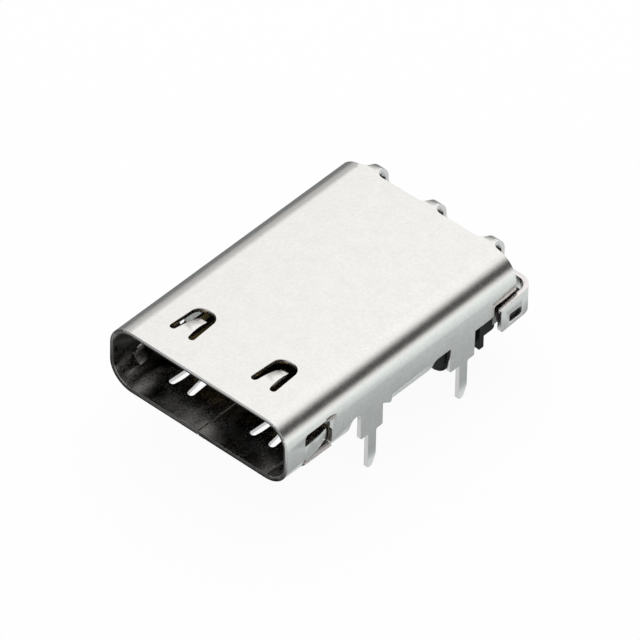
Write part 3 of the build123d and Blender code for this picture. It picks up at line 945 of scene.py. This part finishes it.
def overhead_lamp(level):
    """A square soft lamp of a given radiance, which matt surfaces see and gloss does not."""
    data = bpy.data.lights.new("overhead_lamp", "AREA")
    data.shape = "SQUARE"
    data.size = LAMP_SIZE
    data.energy = level * pi * LAMP_SIZE**2
    lamp = bpy.data.objects.new("overhead_lamp", data)
    bpy.context.scene.collection.objects.link(lamp)
    lamp.location = LAMP_PLACE
    lamp.rotation_mode = "QUATERNION"
    lamp.rotation_quaternion = (-Vector(LAMP_PLACE)).to_track_quat("-Z", "Y")
    lamp.visible_camera = False
    lamp.visible_glossy = False


class SOCKET_OT_stage(Operator):
    """Set up the floor, the cards, the lamp and the camera"""

    bl_idname = "socket.stage"
    bl_label = "Studio"

    def execute(self, context):
        look = context.scene.socket_studio
        context.scene.view_settings.view_transform = "Standard"
        self.lay_floor(look)
        light_world(look)
        dark_card("right_card", RIGHT_CARD)
        dark_card("left_card", LEFT_CARD)
        overhead_lamp(look.lamp_level)
        self.place_camera(context.scene, look)
        return {"FINISHED"}

    def lay_floor(self, look):
        """The floor, level with the socket's lowest point."""
        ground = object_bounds()[0].z
        half = look.floor_size / 2
        corners = [(-half, -half, ground), (half, -half, ground), (half, half, ground), (-half, half, ground)]
        mesh = bpy.data.meshes.new("floor")
        mesh.from_pydata(corners, [], [(0, 1, 2, 3)])
        stage_panel("floor", mesh, finish_floor(look))

    def place_camera(self, scene, look):
        """The camera at the photograph's viewing angle."""
        azimuth, elevation, roll = look.camera_azimuth, look.camera_elevation, look.camera_roll
        back = Vector((sin(azimuth) * cos(elevation), -cos(azimuth) * cos(elevation), sin(elevation)))
        right = Vector((cos(azimuth), sin(azimuth), 0))
        up = back.cross(right)
        turned_right = right * cos(roll) + up * sin(roll)
        turned_up = up * cos(roll) - right * sin(roll)
        mouth = Vector((0, SHELL_LOW.y, MOUTH_HEIGHT * MM))
        place = mouth + back * look.camera_distance
        place += turned_right * (CAMERA_SLIDE[0] * MM) + turned_up * (CAMERA_SLIDE[1] * MM)
        data = bpy.data.cameras.new("photo_camera")
        data.lens = look.camera_lens
        data.sensor_width = SENSOR_WIDTH
        camera = bpy.data.objects.new("photo_camera", data)
        scene.collection.objects.link(camera)
        turn = Matrix((turned_right, turned_up, back)).transposed()
        camera.matrix_world = Matrix.LocRotScale(place, turn.to_quaternion(), None)
        scene.camera = camera


class SOCKET_PT_sidebar(Panel):
    """The socket's pieces and its studio"""

    bl_idname = "SOCKET_PT_sidebar"
    bl_label = "Board Socket"
    bl_space_type = "VIEW_3D"
    bl_region_type = "UI"
    bl_category = "Socket"

    def draw(self, context):
        for operator in OPERATORS:
            self.layout.operator(operator.bl_idname)
        for group in SETTINGS:
            box = self.layout.box()
            box.label(text=group.split("_")[1].capitalize())
            held = getattr(context.scene, group)
            for name in held.bl_rna.properties.keys():
                if name not in ("rna_type", "name"):
                    box.prop(held, name)


SETTINGS = {
    "socket_sheet": SOCKET_PG_sheet,
    "socket_moulding": SOCKET_PG_moulding,
    "socket_contacts": SOCKET_PG_contacts,
    "socket_studio": SOCKET_PG_studio,
}
OPERATORS = (SOCKET_OT_shell, SOCKET_OT_plates, SOCKET_OT_moulding, SOCKET_OT_contacts, SOCKET_OT_stage)
CLASSES = (*SETTINGS.values(), *OPERATORS, SOCKET_PT_sidebar)


def register():
    """Register the classes and hang the settings on the scene."""
    for made in CLASSES:
        bpy.utils.register_class(made)
    for name, group in SETTINGS.items():
        setattr(bpy.types.Scene, name, PointerProperty(type=group))


def unregister():
    """Take the settings and the classes away again."""
    for name in SETTINGS:
        delattr(bpy.types.Scene, name)
    for made in reversed(CLASSES):
        bpy.utils.unregister_class(made)


def main():
    """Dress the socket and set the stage."""
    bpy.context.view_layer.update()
    register()
    bpy.ops.socket.shell()
    bpy.ops.socket.plates()
    bpy.ops.socket.moulding()
    bpy.ops.socket.contacts()
    bpy.ops.socket.stage()


if __name__ == "__main__":
    main()
